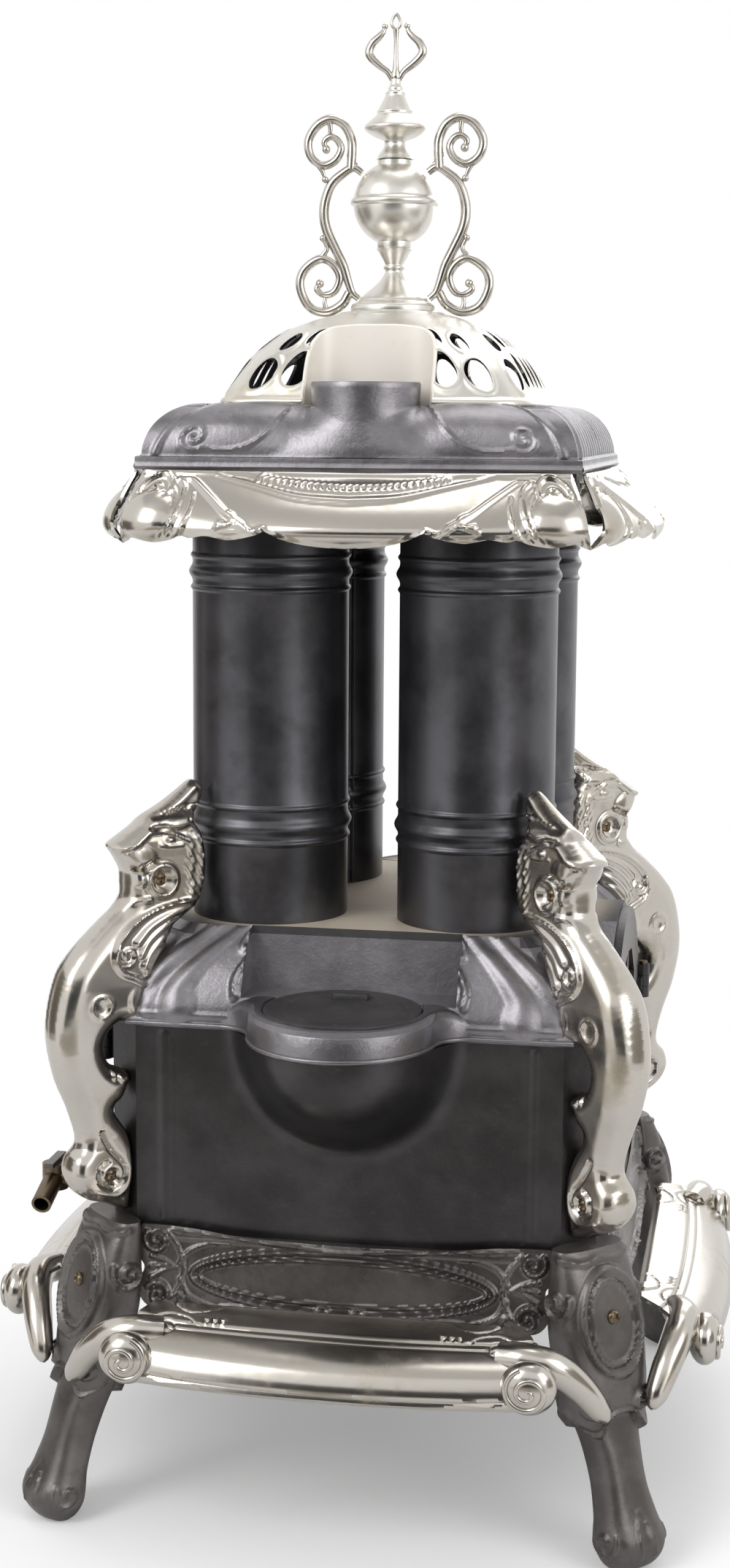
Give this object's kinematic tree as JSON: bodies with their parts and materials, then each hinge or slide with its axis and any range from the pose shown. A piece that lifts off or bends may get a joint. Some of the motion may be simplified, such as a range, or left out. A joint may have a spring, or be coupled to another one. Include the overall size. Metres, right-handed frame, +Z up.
{
  "type": "gas parlor stove",
  "caption": "Tall cast-iron gas parlor stove with upright heat drums, nickel griffin brackets, foot rails, pierced dome and urn finial, arched side doors.",
  "frame": {"origin": "on the floor under the middle of the stove", "axes": "+Z up, -Y towards the pictured flue side, +X to its right"},
  "size_m": [0.724, 0.724, 1.4472],
  "materials": {
    "body_iron": "satin black stove polish",
    "leg_iron": "matte black",
    "polished_iron": "burnished graphite",
    "drum_steel": "satin black sheet steel",
    "nickel": "polished warm nickel",
    "steel": "plain screws and rod",
    "mica": "amber mica sheet",
    "aged_brass": "darkened plated brass"
  },
  "bodies": {
    "stove": {"leg_near_right": "leg_iron", "griffin_near_right": "nickel", "drum_near_right": "drum_steel", "leg_far_right": "leg_iron", "griffin_far_right": "nickel", "drum_far_right": "drum_steel", "leg_far_left": "leg_iron", "griffin_far_left": "nickel", "drum_far_left": "drum_steel", "leg_near_left": "leg_iron", "griffin_near_left": "nickel", "drum_near_left": "drum_steel", "apron_near": "body_iron", "foot_rail_near": "nickel", "skirt_near": "nickel", "apron_right": "body_iron", "foot_rail_right": "nickel", "skirt_right": "nickel", "apron_far": "body_iron", "foot_rail_far": "nickel", "skirt_far": "nickel", "apron_left": "body_iron", "foot_rail_left": "nickel", "skirt_left": "nickel", "door_frame_right": "body_iron", "door_frame_far": "body_iron", "door_frame_left": "body_iron", "base_plate": "body_iron", "near_panel": "body_iron", "corner_posts": "body_iron", "shoulder_casting": "polished_iron", "deck_plate": "polished_iron", "flue_boot": "polished_iron", "top_casting": "polished_iron", "drum_head": "drum_steel", "hinge_pins": "steel", "bracket_screws": "steel", "leg_screws": "steel", "gas_cock_body": "aged_brass", "gas_pipe": "drum_steel", "burner": "leg_iron"},
    "door_right": {"door_right": "body_iron", "mica_right": "mica"},
    "door_far": {"door_far": "body_iron", "mica_far": "mica"},
    "door_left": {"door_left": "body_iron", "mica_left": "mica"},
    "latch_right": {"latch_knob_right": "nickel"},
    "latch_far": {"latch_knob_far": "nickel"},
    "latch_left": {"latch_knob_left": "nickel"},
    "lid": {"boot_lid": "polished_iron"},
    "dome_top": {"dome": "nickel", "finial_foot": "nickel", "finial_ball_lower": "nickel", "finial_ball_upper": "nickel", "finial_vase": "nickel", "finial_crown": "nickel", "finial_scrolls": "nickel", "finial_rod": "steel"},
    "gas_key": {"gas_cock_key": "leg_iron"}
  },
  "joints": [
    {"name": "door_right_swing", "type": "hinge", "parent": "stove", "child": "door_right", "pos_m": [0.251, 0.182, 0.4], "axis": [0, 0, 1], "range_deg": [0, 105]},
    {"name": "door_far_swing", "type": "hinge", "parent": "stove", "child": "door_far", "pos_m": [-0.182, 0.251, 0.4], "axis": [0, 0, 1], "range_deg": [0, 105]},
    {"name": "door_left_swing", "type": "hinge", "parent": "stove", "child": "door_left", "pos_m": [-0.251, -0.182, 0.4], "axis": [0, 0, 1], "range_deg": [0, 105]},
    {"name": "latch_right_turn", "type": "hinge", "parent": "door_right", "child": "latch_right", "pos_m": [0.242, -0.126, 0.42], "axis": [1, 0, 0], "range_deg": [0, 90]},
    {"name": "latch_far_turn", "type": "hinge", "parent": "door_far", "child": "latch_far", "pos_m": [0.126, 0.242, 0.42], "axis": [0, 1, 0], "range_deg": [0, 90]},
    {"name": "latch_left_turn", "type": "hinge", "parent": "door_left", "child": "latch_left", "pos_m": [-0.242, 0.126, 0.42], "axis": [-1, 0, 0], "range_deg": [0, 90]},
    {"name": "lid_lift", "type": "slide", "parent": "stove", "child": "lid", "axis": [0, 0, 1], "range_m": [0, 0.12]},
    {"name": "dome_lift", "type": "slide", "parent": "stove", "child": "dome_top", "axis": [0, 0, 1], "range_m": [0, 0.12]},
    {"name": "gas_key_turn", "type": "hinge", "parent": "stove", "child": "gas_key", "pos_m": [-0.314, -0.15, 0.3], "axis": [0, 0, 1], "range_deg": [0, 90]}
  ]
}
